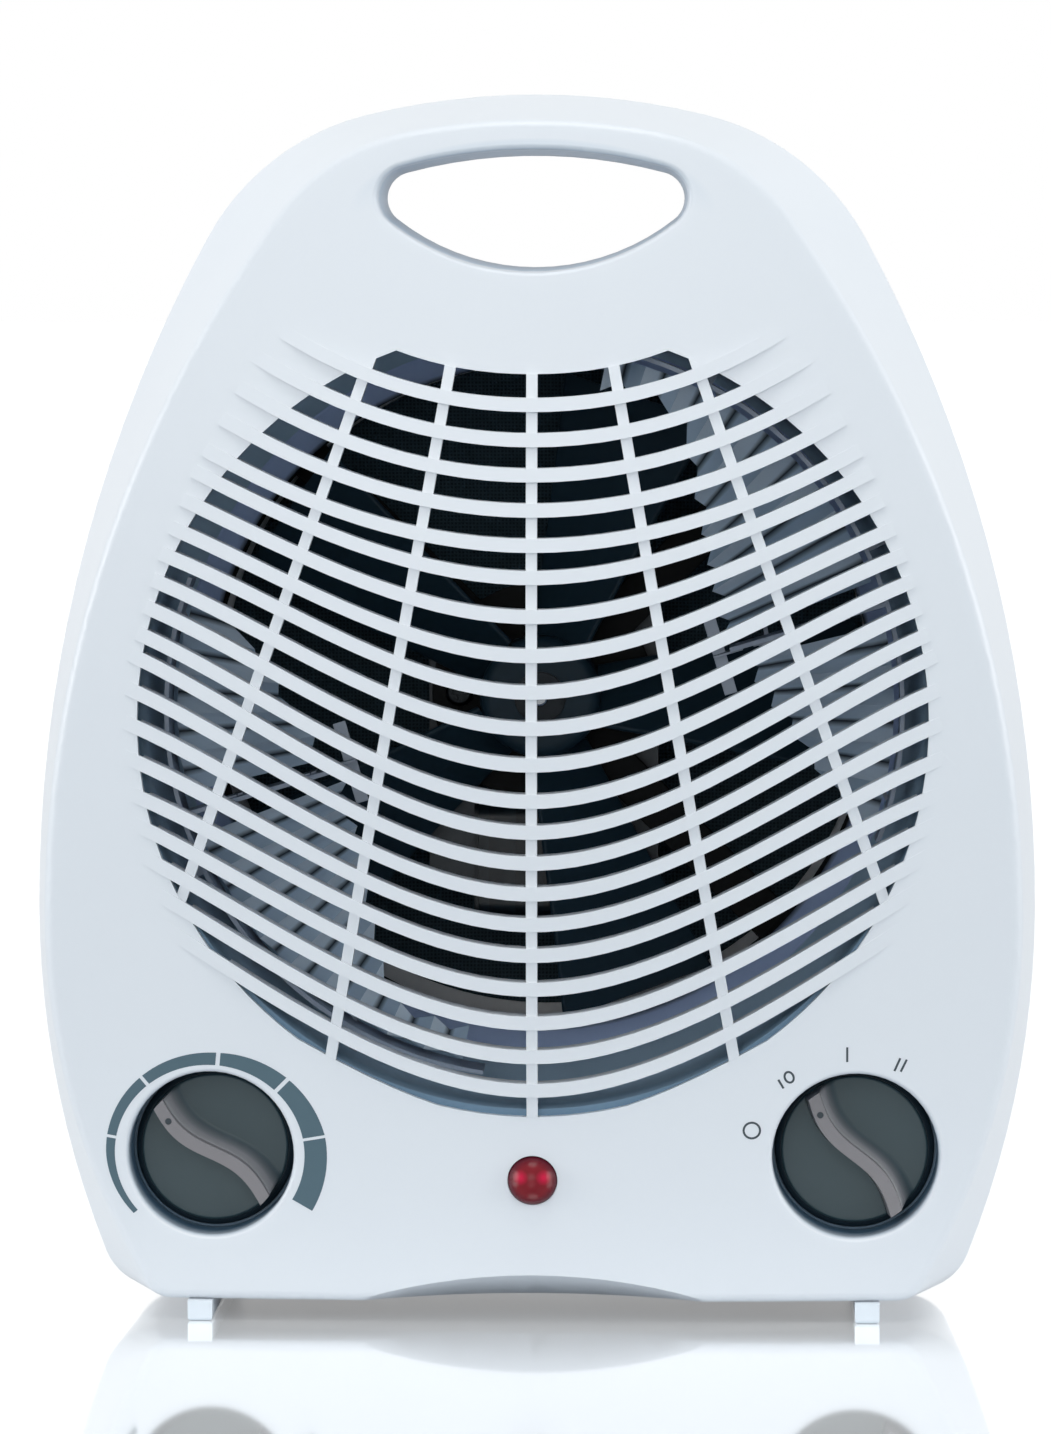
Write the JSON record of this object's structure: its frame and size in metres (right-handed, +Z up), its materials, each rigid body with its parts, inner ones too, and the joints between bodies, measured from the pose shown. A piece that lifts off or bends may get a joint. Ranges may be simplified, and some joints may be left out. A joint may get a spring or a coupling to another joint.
{
  "type": "fan heater",
  "caption": "Upright domed fan heater with a carrying slot, wavy outlet slats over a round duct, two recessed dials and a round pilot lamp on narrow feet.",
  "frame": {"origin": "on the floor, midway across the body's width and depth", "axes": "+X to the right seen from the front, the front faces -Y, +Z up"},
  "size_m": [0.2098, 0.118, 0.2556],
  "materials": {
    "white_shell": "satin white ABS moulding",
    "grey_duct": "pressed sheet with a blue-grey coat",
    "grey_shroud": "grey glass-filled moulding",
    "mica": "pressed mica sheet",
    "heating_alloy": "rolled iron-chrome heating ribbon",
    "tinned_steel": "tinned steel strip",
    "steel_screw": "zinc-plated steel",
    "ground_steel": "ground steel shaft",
    "rotor_alloy": "die-cast cage and steel sheet",
    "core_steel": "varnished electrical sheet stack",
    "bobbin_nylon": "natural nylon",
    "coil_tape": "amber insulating tape over enamelled wire",
    "sintered_bronze": "oil-filled sintered bronze",
    "dark_fan": "dark moulded fan plastic",
    "ceramic": "unglazed steatite",
    "black_phenolic": "moulded phenolic",
    "shaft_brass": "turned brass",
    "dial_grey": "dark green-grey moulding, fine matt grain",
    "grip_grey": "warm grey moulding with a fine speckle",
    "red_lens": "crimson transparent plastic",
    "lamp_glass": "clear lamp glass",
    "black_rubber": "soft black rubber",
    "black_gauze": "fine woven black nylon gauze"
  },
  "bodies": {
    "housing": {"front_cover": "white_shell", "rear_cover": "white_shell", "intake_gauze": "black_gauze", "foot_left": "white_shell", "foot_right": "white_shell", "case_screws": "steel_screw", "air_duct": "grey_duct", "duct_screws": "steel_screw", "fan_shroud": "grey_shroud", "bank_frame_high": "mica", "bank_frame_low": "mica", "heating_ribbon_high": "heating_alloy", "heating_ribbon_low": "heating_alloy", "element_terminals": "tinned_steel", "thermal_cutout": "black_phenolic", "thermal_fuse": "tinned_steel", "stator_core": "core_steel", "coil_bobbin": "bobbin_nylon", "motor_coil": "coil_tape", "motor_bracket_front": "tinned_steel", "motor_bracket_rear": "tinned_steel", "motor_bush_front": "sintered_bronze", "motor_bush_rear": "sintered_bronze", "motor_screws": "steel_screw", "thermostat_body": "ceramic", "thermostat_screws": "steel_screw", "switch_body": "black_phenolic", "switch_screws": "steel_screw", "pilot_lamp_lens": "red_lens", "lamp_clip": "tinned_steel", "neon_lamp": "lamp_glass", "cord_gland": "black_rubber", "terminal_block": "bobbin_nylon", "terminal_screws": "steel_screw"},
    "fan": {"impeller": "dark_fan", "fan_clip": "steel_screw", "motor_shaft": "ground_steel", "rotor_core": "rotor_alloy"},
    "thermostat_dial": {"thermostat_knob": "dial_grey", "thermostat_grip": "grip_grey", "thermostat_shaft": "shaft_brass"},
    "selector_dial": {"selector_knob": "dial_grey", "selector_grip": "grip_grey", "switch_shaft": "shaft_brass"}
  },
  "joints": [
    {"name": "fan_spin", "type": "hinge", "parent": "housing", "child": "fan", "pos_m": [0, 0.0105, 0.1276], "axis": [0, 1, 0], "continuous": true},
    {"name": "thermostat_turn", "type": "hinge", "parent": "housing", "child": "thermostat_dial", "pos_m": [-0.067, -0.0343, 0.0355], "axis": [0, 1, 0], "range_deg": [-70, 178]},
    {"name": "selector_turn", "type": "hinge", "parent": "housing", "child": "selector_dial", "pos_m": [0.067, -0.0343, 0.0355], "axis": [0, 1, 0], "range_deg": [-34, 68]}
  ]
}
